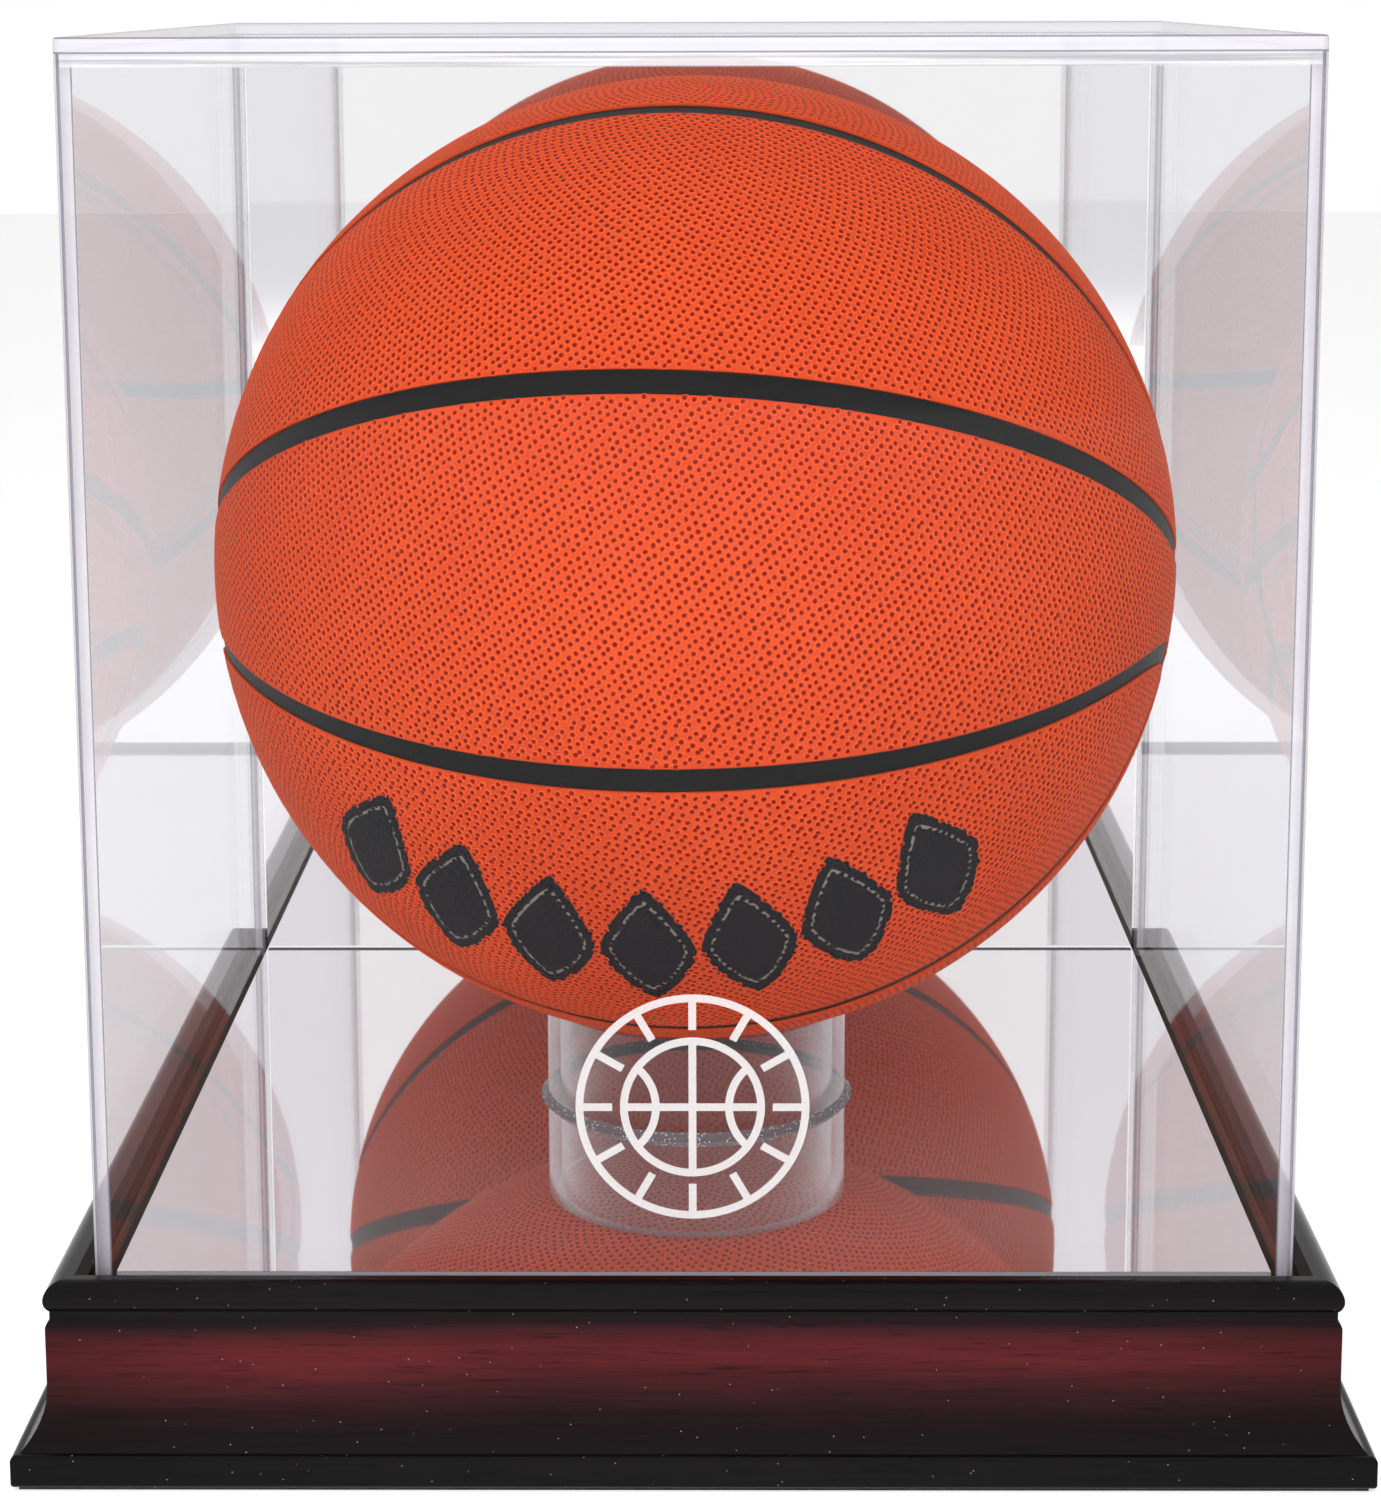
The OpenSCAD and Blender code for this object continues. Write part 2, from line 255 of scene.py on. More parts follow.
class Paint(Graph):
    """A material's graph, with the few shaders that the case needs."""

    def __init__(self, name: str) -> None:
        """Makes a material by that name."""
        self.material = bpy.data.materials.new(name)
        self.material.use_nodes = True
        super().__init__(self.material.node_tree)
        self.place = self.take("ShaderNodeTexCoord", "Object")

    def stretched(self, scale: Point) -> Sock:
        """Returns the place on the piece, times a scale on each axis."""
        return self.vector("MULTIPLY", self.place, scale)

    def noise(self, scale: Point, detail: float = 3.0, rough: float = 0.5) -> Sock:
        """Returns noise between 0 and 1.

        Args:
            scale: How many features there are in a metre, on each axis.
            detail: How many finer layers there are.
            rough: How strong those are.

        Returns:
            The noise.
        """
        return self.take("ShaderNodeTexNoise", 0, None,
                         {"Vector": self.stretched(scale), "Scale": 1.0,
                          "Detail": detail, "Roughness": rough})

    def specks(self, apart: float, size: float) -> Sock:
        """Returns 1 on sparse round specks.

        Args:
            apart: The cell that holds one speck.
            size: The speck's greatest radius.

        Returns:
            The mask.
        """
        cell = self.take("ShaderNodeTexVoronoi", 0, None,
                         {"Vector": self.place, "Scale": 1 / apart})
        return cell < size / apart

    def mixed(self, factor: Value, a: Vec, b: Vec) -> Sock:
        """Returns colour a where factor is 0 and b where it is 1."""
        return self.take("ShaderNodeMix", 2, {"data_type": "RGBA"},
                         {0: factor, 6: a, 7: b})

    def bump(self, height: Sock, strength: float, distance: float) -> Sock:
        """Returns a normal that follows a height."""
        return self.take("ShaderNodeBump", 0, None,
                         {"Height": height, "Strength": strength,
                          "Distance": distance})

    def facing(self) -> Sock:
        """Returns 0 where a surface is seen straight on and 1 where it is seen on edge."""
        return self.take("ShaderNodeLayerWeight", "Facing", None, {"Blend": 0.5})

    def mirrored(self, head_on: float) -> Sock:
        """Returns the share of light that a clear surface mirrors.

        Args:
            head_on: The share that it mirrors of light that meets it straight.

        Returns:
            The share, rising to 1 at a grazing look.
        """
        return head_on + (1 - head_on) * self.facing() ** 5.0

    def solid(self, **values: Any) -> Sock:
        """Adds a Principled shader.

        Args:
            **values: Its inputs, with an underscore for each space in their names.

        Returns:
            The shader.
        """
        named = {key.replace("_", " "): value for key, value in values.items()}
        return self.take("ShaderNodeBsdfPrincipled", 0, None, named)

    def clear(self, colour: Colour) -> Sock:
        """Adds a Transparent shader."""
        return self.take("ShaderNodeBsdfTransparent", 0, None, {0: colour})

    def gloss(self, colour: Colour, roughness: float) -> Sock:
        """Adds a Glossy shader."""
        return self.take("ShaderNodeBsdfAnisotropic", 0, None,
                         {"Color": colour, "Roughness": roughness})

    def blended(self, factor: Value, a: Sock, b: Sock) -> Sock:
        """Returns shader a where factor is 0 and b where it is 1."""
        return self.take("ShaderNodeMixShader", 0, None, {0: factor, 1: a, 2: b})

    def finish(self, shader: Sock) -> bpy.types.Material:
        """Shows a shader on the surface and returns the material."""
        self.node("ShaderNodeOutputMaterial", None, {"Surface": shader})
        return self.material


# ---------------------------------------------------------------- finishes


@dataclass(frozen=True)
class Finish(ABC):
    """A finish that makes its own material."""

    name: str

    @abstractmethod
    def material(self) -> bpy.types.Material:
        """Returns a new material of this finish."""

    def put_on(self, *nodes: str) -> None:
        """Puts this finish on CAD nodes, by name."""
        made = self.material()
        for name in nodes:
            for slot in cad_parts[name].material_slots:
                slot.material = made


@dataclass(frozen=True)
class StainedWood(Finish):
    """Red mahogany stain under gloss lacquer, with painted shade: near black low down and
    on the top, and darker towards the mitred ends.
    """

    grain: Axis = Axis.X
    height: float = 0.0447
    reach: float = 0.1485
    # Colours by height: the red stain, with painted shade taking it near black low down and
    # on the top.
    stain_and_painted_shade: Tuple[Tuple[float, Colour], ...] = (
        (0.000, tone(17, 15, 16)), (0.190, tone(17, 15, 16)),
        (0.260, tone(22, 11, 14)), (0.340, tone(34, 13, 17)),
        (0.430, tone(56, 20, 25)), (0.520, tone(80, 27, 31)),
        (0.600, tone(97, 32, 35)), (0.690, tone(93, 30, 33)),
        (0.750, tone(72, 26, 29)), (0.790, tone(36, 18, 21)),
        (0.830, tone(19, 15, 17)), (1.000, tone(19, 16, 18)))

    def material(self) -> bpy.types.Material:
        """Returns the lacquered wood, its grain along one axis."""
        p = Paint(self.name)
        x, y, z = p.split(p.place)

        def along(run: float, across: float) -> Point:
            """Returns feature counts along and across the grain."""
            return (run, across, across) if self.grain is Axis.X else (across, run, across)

        broad = p.noise(along(9, 60), 2.0)
        fine = p.noise(along(28, 620), 5.0, 0.65)
        pores = p.noise(along(75, 1500), 2.0, 0.6)
        # The colour by height paints shade over the stain: near black low down and on the
        # top, red between.
        wander = z / self.height + 0.10 * (broad - 0.5) + 0.05 * (fine - 0.5)
        shade = p.take("ShaderNodeValToRGB", 0, {"stops": self.stain_and_painted_shade}, {0: wander})
        figure_and_end_shade = 0.34 + 0.62 * broad + 0.95 * (fine - 0.2) - 0.40 * pores.rise(0.54, 0.70)
        # Painted shade: each moulding darkens towards its mitred ends.
        length = x if self.grain is Axis.X else y
        figure_and_end_shade = figure_and_end_shade * (1 - 0.42 * (abs(length) / self.reach).rise(0.55, 1.0))
        dust = p.specks(2.6 * MM, 0.12 * MM)
        base = p.mixed(dust, p.scaled(shade, figure_and_end_shade), tone(176, 168, 164))
        return p.finish(p.solid(
            Base_Color=base, Roughness=0.17 + 0.10 * fine + 0.4 * dust,
            Specular_IOR_Level=0.1,
            Normal=p.bump(fine + 0.5 * broad, 0.035, 0.4 * MM)))


@dataclass(frozen=True)
class BareWood(Finish):
    """Pale unfinished wood."""

    grain: Axis = Axis.Z
    light: Colour = tone(205, 170, 122)
    dark: Colour = tone(164, 122, 78)

    def material(self) -> bpy.types.Material:
        """Returns the bare wood."""
        p = Paint(self.name)
        scale = [420.0, 420.0, 420.0]
        scale[self.grain.value] = 16.0
        fine = p.noise(tuple(scale), 5.0, 0.6)
        rings = p.noise(tuple(s / 9 for s in scale), 2.0)
        base = p.mixed((0.55 * fine + 0.6 * rings - 0.1).rise(0.25, 0.75),
                       self.dark, self.light)
        return p.finish(p.solid(Base_Color=base, Roughness=0.72 + 0.15 * fine,
                                Normal=p.bump(fine, 0.25, 0.3 * MM)))


@dataclass(frozen=True)
class Board(Finish):
    """Pressed fibre board, with flecks."""

    ground: Colour = tone(160, 122, 84)
    fleck: Colour = tone(112, 80, 52)

    def material(self) -> bpy.types.Material:
        """Returns the board."""
        p = Paint(self.name)
        fibre = p.noise((900, 900, 900), 4.0, 0.7)
        patch = p.noise((60, 60, 60), 2.0)
        base = p.mixed((fibre + 0.3 * patch).rise(0.55, 0.8), self.ground, self.fleck)
        return p.finish(p.solid(Base_Color=base, Roughness=0.85 + 0.1 * fibre,
                                Normal=p.bump(fibre, 0.3, 0.25 * MM)))


@dataclass(frozen=True)
class Felt(Finish):
    """Black felt, matted from short fibres."""

    def material(self) -> bpy.types.Material:
        """Returns the felt."""
        p = Paint(self.name)
        fibre = p.noise((1300, 1300, 1300), 4.0, 0.7)
        tuft = p.noise((210, 210, 210), 3.0)
        base = p.mixed((0.7 * fibre + 0.4 * tuft).rise(0.35, 0.75),
                       tone(20, 20, 20), tone(62, 60, 58))
        return p.finish(p.solid(Base_Color=base, Roughness=0.92 + 0.06 * tuft,
                                Sheen_Weight=0.3,
                                Normal=p.bump(fibre + tuft, 0.6, 0.5 * MM)))


@dataclass(frozen=True)
class ScrewSteel(Finish):
    """Turned steel with a zinc bloom."""

    def material(self) -> bpy.types.Material:
        """Returns the steel."""
        p = Paint(self.name)
        bloom = p.noise((320, 320, 320), 3.0)
        turned = p.noise((90, 90, 2600), 2.0)
        base = p.mixed(bloom, tone(168, 170, 172), tone(206, 207, 205))
        return p.finish(p.solid(Base_Color=base, Metallic=1.0,
                                Roughness=0.26 + 0.22 * bloom,
                                Normal=p.bump(turned, 0.12, 0.1 * MM)))


@dataclass(frozen=True)
class MirrorSheet(Finish):
    """Silvered acrylic sheet with a faint haze, a little dust and a grey painted back."""

    silver: Colour = tone(226, 222, 225)
    haze: float = 0.1
    thin: Axis = Axis.Z
    middle: float = 0.0
    half: float = 1.5 * MM
    back: float = 1.0

    def material(self) -> bpy.types.Material:
        """Returns the mirror, its cut edges pale and its back painted."""
        p = Paint(self.name)
        level = p.split(p.place)[self.thin.value] - self.middle
        cut = abs(level) < self.half - 0.1 * MM
        painted = self.back * level > self.half - 0.1 * MM
        cloud = p.noise((14, 14, 14), 3.0)
        dust = p.specks(5.0 * MM, 0.16 * MM)
        dull = self.haze * (0.6 + 0.8 * cloud) + 0.6 * dust
        base = p.mixed(cut, p.mixed(dust, self.silver, tone(240, 240, 240)),
                       tone(206, 205, 214))
        base = p.mixed(painted, base, p.mixed(cloud, tone(112, 114, 117),
                                              tone(134, 136, 139)))
        return p.finish(p.solid(
            Base_Color=base, Metallic=(1 - dull) * (1 - 0.8 * cut) * (1 - painted),
            Roughness=0.012 + 0.02 * cloud + 0.3 * cut + 0.4 * painted))


@dataclass(frozen=True)
class Tape(Finish):
    """Cream foam tape."""

    def material(self) -> bpy.types.Material:
        """Returns the tape."""
        p = Paint(self.name)
        foam = p.take("ShaderNodeTexVoronoi", 0, None,
                      {"Vector": p.place, "Scale": 1900.0})
        base = p.mixed(foam, tone(226, 223, 212), tone(196, 192, 180))
        return p.finish(p.solid(Base_Color=base, Roughness=0.7 + 0.15 * foam,
                                Normal=p.bump(foam, 0.4, 0.15 * MM)))


@dataclass(frozen=True)
class ClearSheet(Finish):
    """Clear acrylic sheet, its cut edges pale lavender between thin dark lines of painted
    shade.

    Above the level `joint` its faces show the streaks of a glued joint. The level that
    it starts with is above the case, so that there is none.
    """

    thin: Axis = Axis.Y
    middle: float = 0.0
    half: float = 1.75 * MM
    head_on: float = 0.04
    share: float = 1.0
    tint: Colour = tone(254, 254, 254)
    smoke: Colour = tone(242, 242, 245)
    joint: float = 1.0
    edge: Colour = tone(228, 225, 238)
    # The colour of the painted shade along each rim of the cut edge.
    line: Colour = tone(138, 135, 150)
    edge_cover: float = 0.62
    skin: float = 0.06 * MM
    shade_line_width: float = 0.42 * MM

    def material(self) -> bpy.types.Material:
        """Returns the clear sheet."""
        p = Paint(self.name)
        depth = abs(p.split(p.place)[self.thin.value] - self.middle)
        inside = self.half - depth
        cut = inside > self.skin
        # Painted shade: a thin dark line along each rim of the cut edge.
        rim = cut * (inside < self.shade_line_width)
        passed = p.blended(p.facing() ** 1.6, p.clear(self.tint), p.clear(self.smoke))
        body = p.blended(self.share * p.mirrored(self.head_on), passed,
                         p.gloss(tone(255, 255, 255), 0.015))
        drawn = p.noise((9, 9, 1500), 3.0, 0.6).rise(0.42, 0.62)
        glue = p.solid(Base_Color=p.mixed(drawn, tone(250, 250, 252), tone(186, 186, 194)),
                       Roughness=0.2 + 0.1 * drawn)
        above = p.split(p.place)[2].rise(self.joint, self.joint + 0.5 * MM)
        body = p.blended(above * (0.55 + 0.25 * drawn), body, glue)
        streak = p.noise((40, 40, 40), 2.0)
        colour = p.mixed(rim, p.mixed(streak, self.edge, tone(240, 238, 246)), self.line)
        sawn = p.solid(Base_Color=colour, Roughness=0.18 + 0.1 * streak)
        edge = p.blended(self.edge_cover + 0.2 * rim, p.clear(self.tint), sawn)
        return p.finish(p.blended(cut, body, edge))


@dataclass(frozen=True)
class ClearTube(Finish):
    """Clear acrylic tube: clear to look through, milky where its wall is seen on edge."""

    centre: Tuple[float, float] = (0.0, 0.0)
    middle: float = 36.5 * MM
    half: float = 1.6 * MM
    wall: Colour = tone(250, 250, 252)

    def material(self) -> bpy.types.Material:
        """Returns the tube."""
        p = Paint(self.name)
        from_axis = p.vector("SUBTRACT", p.place, (*self.centre, 0.0))
        radius = p.length(p.vector("MULTIPLY", from_axis, (1, 1, 0)))
        inside = self.half - abs(radius - self.middle)
        cut = inside > 0.06 * MM
        sheen = p.noise((60, 60, 25), 2.0)
        milky = p.solid(Base_Color=self.wall, Roughness=0.16 + 0.1 * sheen, Metallic=0.75)
        body = p.blended(0.035 + 0.9 * p.facing() ** 2.6, p.clear(tone(253, 253, 254)),
                         milky)
        rim = p.blended(0.5 + 0.25 * (inside < 0.3 * MM), p.clear(tone(250, 250, 252)),
                        milky)
        return p.finish(p.blended(cut, body, rim))


@dataclass(frozen=True)
class Cement(Finish):
    """A bead of clear cement with small bubbles."""

    def material(self) -> bpy.types.Material:
        """Returns the cement."""
        p = Paint(self.name)
        bubbles = p.specks(0.9 * MM, 0.22 * MM)
        base = p.mixed(bubbles, tone(150, 146, 152), tone(236, 236, 240))
        gel = p.solid(Base_Color=base, Roughness=0.15 + 0.1 * bubbles)
        return p.finish(p.blended(0.55 + 0.3 * bubbles, p.clear(tone(246, 246, 248)), gel))


@dataclass(frozen=True)
class WhitePrint(Finish):
    """Thin white ink, a little see-through."""

    def material(self) -> bpy.types.Material:
        """Returns the ink."""
        p = Paint(self.name)
        grain = p.noise((1500, 1500, 1500), 2.0)
        patch = p.noise((90, 90, 90), 2.0)
        ink = p.solid(Base_Color=p.mixed(patch, tone(250, 244, 244), tone(255, 252, 252)),
                      Roughness=0.35 + 0.2 * grain)
        return p.finish(p.blended(0.60 + 0.14 * grain, p.clear(tone(255, 255, 255)), ink))


@dataclass(frozen=True)
class Rubber(Finish):
    """Moulded black rubber, satin, with a little bloom."""

    dark: Colour = tone(12, 11, 13)
    bloom: Colour = tone(24, 23, 24)

    def material(self) -> bpy.types.Material:
        """Returns the rubber."""
        p = Paint(self.name)
        cloud = p.noise((55, 55, 55), 4.0)
        fine = p.noise((900, 900, 900), 3.0, 0.5)
        dust = p.specks(11.0 * MM, 0.11 * MM)
        base = p.mixed(dust, p.mixed((0.6 * cloud + 0.4 * fine).rise(0.4, 0.8),
                                     self.dark, self.bloom), tone(150, 140, 134))
        return p.finish(p.solid(Base_Color=base, Roughness=0.42 + 0.18 * fine,
                                Specular_IOR_Level=0.12,
                                Normal=p.bump(fine, 0.05, 0.1 * MM)))


@dataclass(frozen=True)
class PebbleSkin(Finish):
    """The skin of the pebbles: it varies from patch to patch, finely creased and worn."""

    colour: Colour = tone(190, 45, 20)
    roughness: float = 0.5
    specular: float = 0.05

    def material(self) -> bpy.types.Material:
        """Returns the skin."""
        p = Paint(self.name)
        patch = p.noise((26, 26, 26), 3.0)
        each = p.noise((520, 520, 520), 1.0)
        crease = p.noise((3200, 3200, 3200), 3.0, 0.6)
        shade = 0.72 + 0.22 * patch + 0.30 * each + 0.10 * crease
        base = p.scaled(self.colour[:3], shade)
        return p.finish(p.solid(
            Base_Color=base,
            Roughness=self.roughness + 0.10 * crease - 0.08 * each,
            Specular_IOR_Level=self.specular,
            Normal=p.bump(crease, 0.15, 0.05 * MM)))


@dataclass(frozen=True)
class BallFrame:
    """Where the ball is and how it is turned, with the row of printed lozenges."""

    centre: Point
    radius: float
    yaw: float = -5.6
    tilt: float = 28.3
    first: float = -43.0
    pitch: float = 12.1
    count: int = 7
    level: float = 22.6
    half_width: float = 0.48
    half_height: float = 10.4

    @property
    def axes(self) -> Tuple[Point, Point, Point]:
        """Returns the ball's own three axes in the shared frame."""
        turn = (Matrix.Rotation(math.radians(self.yaw), 3, "Z")
                @ Matrix.Rotation(-math.radians(self.tilt), 3, "X"))
        return tuple(tuple(turn.col[i]) for i in range(3))

    def own(self, g: Graph, place: Sock) -> Tuple[Sock, Sock, Sock]:
        """Returns a place in the ball's own axes, over its radius."""
        spoke = g.vector("SUBTRACT", place, self.centre)
        return tuple(g.dot(spoke, axis) / self.radius for axis in self.axes)

    def lozenges(self, g: Graph, place: Sock) -> Tuple[Sock, Sock]:
        """Makes the masks of the printed row.

        Args:
            g: The graph of a material or of Geometry Nodes.
            place: The place on the ball.

        Returns:
            A mask of the black lozenges, and one of the thin line inside each.
        """
        x, y, z = self.own(g, place)
        turn = DEGREES * x.maths("ARCTAN2", x, -z)
        rise = DEGREES * y.maths("ARCSINE", -y)
        cell = (turn - self.first) / self.pitch
        within = (cell > 0.0) * (cell < float(self.count))
        across = abs(cell.maths("FRACT", cell) - 0.5) / self.half_width
        up = abs(rise - self.level) / self.half_height
        reach = across ** 1.3 + up ** 1.3
        black = within * (reach < 1.0)
        line = within * (reach > 0.68) * (reach < 0.76)
        return black, line


@dataclass(frozen=True)
class Leather(Finish):
    """The ground between the pebbles, with the printed row where it is wanted."""

    ball: Optional[BallFrame] = None
    printed: bool = False
    ground: Colour = tone(234, 86, 38)
    deep: Colour = tone(214, 70, 30)

    def material(self) -> bpy.types.Material:
        """Returns the leather."""
        p = Paint(self.name)
        broad = p.noise((22, 22, 22), 3.0)
        crease = p.noise((820, 820, 820), 4.0, 0.6)
        base: Vec = p.mixed((0.45 * broad + 0.55 * crease).rise(0.3, 0.7),
                            self.deep, self.ground)
        if self.printed and self.ball:
            black, line = self.ball.lozenges(p, p.place)
            base = p.mixed(black, base, p.mixed(crease, tone(20, 20, 24), tone(38, 36, 40)))
            base = p.mixed(line, base, tone(142, 132, 124))
        return p.finish(p.solid(Base_Color=base, Roughness=0.5 + 0.16 * crease,
                                Specular_IOR_Level=0.05,
                                Normal=p.bump(crease, 0.35, 0.12 * MM)))


@dataclass(frozen=True)
class Thread(Finish):
    """Wound nylon thread under rubber, the ball's inner layer."""

    def material(self) -> bpy.types.Material:
        """Returns the wound thread."""
        p = Paint(self.name)
        wound = p.noise((120, 1500, 120), 3.0, 0.6)
        crossed = p.noise((1500, 120, 700), 3.0, 0.6)
        base = p.mixed((wound + crossed - 0.5).rise(0.3, 0.7), tone(52, 48, 44),
                       tone(120, 112, 100))
        return p.finish(p.solid(Base_Color=base, Roughness=0.7 + 0.1 * wound,
                                Normal=p.bump(wound + crossed, 0.5, 0.3 * MM)))


def shown_to_lens(g: Graph) -> Sock:
    """Tells light that is seen or mirrored from light that only falls on matt things.

    Args:
        g: The graph of the room or of the studio floor.

    Returns:
        1 for light seen by the lens or passed on by a mirror, else 0.
    """
    path = g.node("ShaderNodeLightPath")
    straight = Sock(g, path.outputs["Is Camera Ray"])
    return straight.maths("MAXIMUM", straight, Sock(g, path.outputs["Is Glossy Ray"]))


@dataclass(frozen=True)
class PaleFloor(Finish):
    """The studio's plain pale floor."""

    def material(self) -> bpy.types.Material:
        """Returns the floor's paint."""
        p = Paint(self.name)
        tooth = p.noise((30, 30, 30), 3.0)
        glow = p.scaled((1.0, 1.0, 1.0), shown_to_lens(p))
        return p.finish(p.solid(Base_Color=tone(246, 246, 246),
                                Roughness=0.55 + 0.1 * tooth, Specular_IOR_Level=0.2,
                                Emission_Color=glow, Emission_Strength=0.55))


# ---------------------------------------------------------------- Geometry Nodes


@dataclass
class PebbleField:
    """Raises pebbles on a panel's outer face, with Geometry Nodes.

    Points are wound round the whole ball on an even spiral and jittered. Those that lie
    within `strays` of the panel's outer face and clear of its channels by `margin` are
    kept, and each gets a small flat-topped pebble. The outer face is all that lies less
    than `skin` below the ball's surface.
    """

    ball: BallFrame
    printed: bool = False
    apart: float = 2.06 * MM
    jitter: float = 0.24 * MM
    width: float = 1.76 * MM
    crown: float = 0.73
    height: float = 0.13 * MM
    margin: float = 0.55 * MM
    skin: float = 0.25 * MM
    strays: float = 0.4 * MM
    sides: int = 7
    seed: int = 11
    tree: bpy.types.NodeTree = field(init=False)
    sockets: Dict[str, str] = field(init=False, default_factory=dict)

    def __post_init__(self) -> None:
        """Builds the tree."""
        self.tree = bpy.data.node_groups.new("pebble_field", "GeometryNodeTree")
        graph = Graph(self.tree)
        for name, kind in (("Panel", "Geometry"), ("Pebbles Round Ball", "Int"),
                           ("Jitter", "Float"), ("Pebble Width", "Float"),
                           ("Crown Share", "Float"), ("Pebble Height", "Float"),
                           ("Channel Margin", "Float"), ("Sides", "Int"),
                           ("Seed", "Int"), ("Crown", "Material"),
                           ("Skirt", "Material"), ("Printed Crown", "Material"),
                           ("Printed Skirt", "Material")):
            made = self.tree.interface.new_socket(
                name, in_out="INPUT", socket_type=f"NodeSocket{kind}")
            self.sockets[name] = made.identifier
        self.tree.interface.new_socket("Pebbles", in_out="OUTPUT",
                                       socket_type="NodeSocketGeometry")
        entry = graph.node("NodeGroupInput")
        self._wire(graph, {s.name: Sock(graph, s) for s in entry.outputs if s.name})

    @property
    def round_ball(self) -> int:
        """Returns how many pebbles would cover the whole ball."""
        return round(4 * math.pi * self.ball.radius ** 2 / (HEX_FILL * self.apart ** 2))

    def _points(self, g: Graph, given: Dict[str, Sock]) -> Sock:
        """Winds the points round the ball."""
        index = g.take("GeometryNodeInputIndex")
        level = 1 - (2 * index + 1) / given["Pebbles Round Ball"]
        turn = GOLDEN_TURN * index
        across = (1 - level * level) ** 0.5
        spiral = g.take("ShaderNodeCombineXYZ", 0, None,
                        {0: across * turn.maths("COSINE", turn),
                         1: across * turn.maths("SINE", turn), 2: level})
        push = g.take("FunctionNodeRandomValue", 0, {"data_type": "FLOAT_VECTOR"},
                      {0: (-1, -1, -1), 1: (1, 1, 1), 8: given["Seed"]})
        place = g.vector("ADD", g.scaled(spiral, self.ball.radius),
                         g.scaled(push, given["Jitter"]))
        return g.take("GeometryNodePoints", 0, None,
                      {"Count": given["Pebbles Round Ball"],
                       "Position": g.vector("ADD", place, self.ball.centre)})

    def _wire(self, g: Graph, given: Dict[str, Sock]) -> None:
        """Wires the tree from its named inputs to its output."""
        place = g.take("GeometryNodeInputPosition")
        spoke = g.vector("SUBTRACT", place, self.ball.centre)
        joined = g.take("GeometryNodeMergeByDistance", 0, None,
                        {"Geometry": given["Panel"], "Distance": 0.00001})
        outer = g.take("GeometryNodeSeparateGeometry", 0, {"domain": "FACE"},
                       {0: joined,
                        1: g.length(spoke) > self.ball.radius - self.skin})
        faces = g.take("GeometryNodeInputMeshEdgeNeighbors")
        border = g.take("GeometryNodeSeparateGeometry", 0, {"domain": "EDGE"},
                        {0: outer, 1: faces < 1.5})
        onto = g.node("GeometryNodeProximity", {"target_element": "FACES"}, {0: outer})
        away = g.take("GeometryNodeProximity", "Distance", {"target_element": "EDGES"},
                      {0: border})
        missed = Sock(g, onto.outputs["Distance"]) > self.strays
        dropped = missed.maths("MAXIMUM", missed, away < given["Channel Margin"])
        kept = g.take("GeometryNodeDeleteGeometry", 0, {"domain": "POINT"},
                      {0: self._points(g, given), 1: dropped})
        laid = g.take("GeometryNodeSetPosition", 0, None,
                      {"Geometry": kept, "Position": Sock(g, onto.outputs["Position"])})
        inked: Value = 0.0
        if self.printed:
            inked = self.ball.lozenges(g, place)[0]
        marked = g.take("GeometryNodeStoreNamedAttribute", 0,
                        {"data_type": "FLOAT", "domain": "POINT"},
                        {"Geometry": laid, "Name": "inked", "Value": inked})
        radius = given["Pebble Width"] / 2
        cone = g.node("GeometryNodeMeshCone", {"fill_type": "NGON"},
                      {"Vertices": given["Sides"], "Side Segments": 1,
                       "Radius Top": radius * given["Crown Share"],
                       "Radius Bottom": radius, "Depth": given["Pebble Height"]})
        shell = g.take("GeometryNodeDeleteGeometry", 0, {"domain": "FACE"},
                       {0: Sock(g, cone.outputs["Mesh"]),
                        1: Sock(g, cone.outputs["Bottom"])})
        upright = g.take("FunctionNodeAlignRotationToVector", 0, {"axis": "Z"},
                         {"Vector": spoke})
        spin = g.take("FunctionNodeRandomValue", 1, {"data_type": "FLOAT"},
                      {2: 0.0, 3: math.tau, 8: given["Seed"]})
        turned = g.take("FunctionNodeRotateRotation", 0, {"rotation_space": "LOCAL"},
                        {0: upright,
                         1: g.take("FunctionNodeAxisAngleToRotation", 0, None,
                                   {"Axis": (0, 0, 1), "Angle": spin})})
        size = g.take("FunctionNodeRandomValue", 0, {"data_type": "FLOAT_VECTOR"},
                      {0: (0.84, 0.84, 0.85), 1: (1.10, 1.10, 1.10),
                       8: given["Seed"] + 1.0})
        placed = g.take("GeometryNodeInstanceOnPoints", 0, None,
                        {"Points": marked, "Instance": shell, "Rotation": turned,
                         "Scale": size})
        smooth = g.take("GeometryNodeSetShadeSmooth", 0, None,
                        {"Geometry": g.take("GeometryNodeRealizeInstances", 0, None,
                                            {"Geometry": placed}),
                         "Shade Smooth": True})
        ink = g.take("GeometryNodeInputNamedAttribute", 0, {"data_type": "FLOAT"},
                     {"Name": "inked"}) > 0.5
        top = Sock(g, cone.outputs["Top"])
        dressed = smooth
        # The skirt materials carry a painted highlight round each pebble; the crowns carry
        # the dark dye.
        for chosen, material in (
                (None, "Skirt"), (top, "Crown"), (ink, "Printed Skirt"),
                (ink * top, "Printed Crown")):
            values: Dict[Union[int, str], Any] = {
                "Geometry": dressed, "Material": given[material]}
            if chosen is not None:
                values["Selection"] = chosen
            dressed = g.take("GeometryNodeSetMaterial", 0, None, values)
        g.node("NodeGroupOutput", None, {0: dressed})

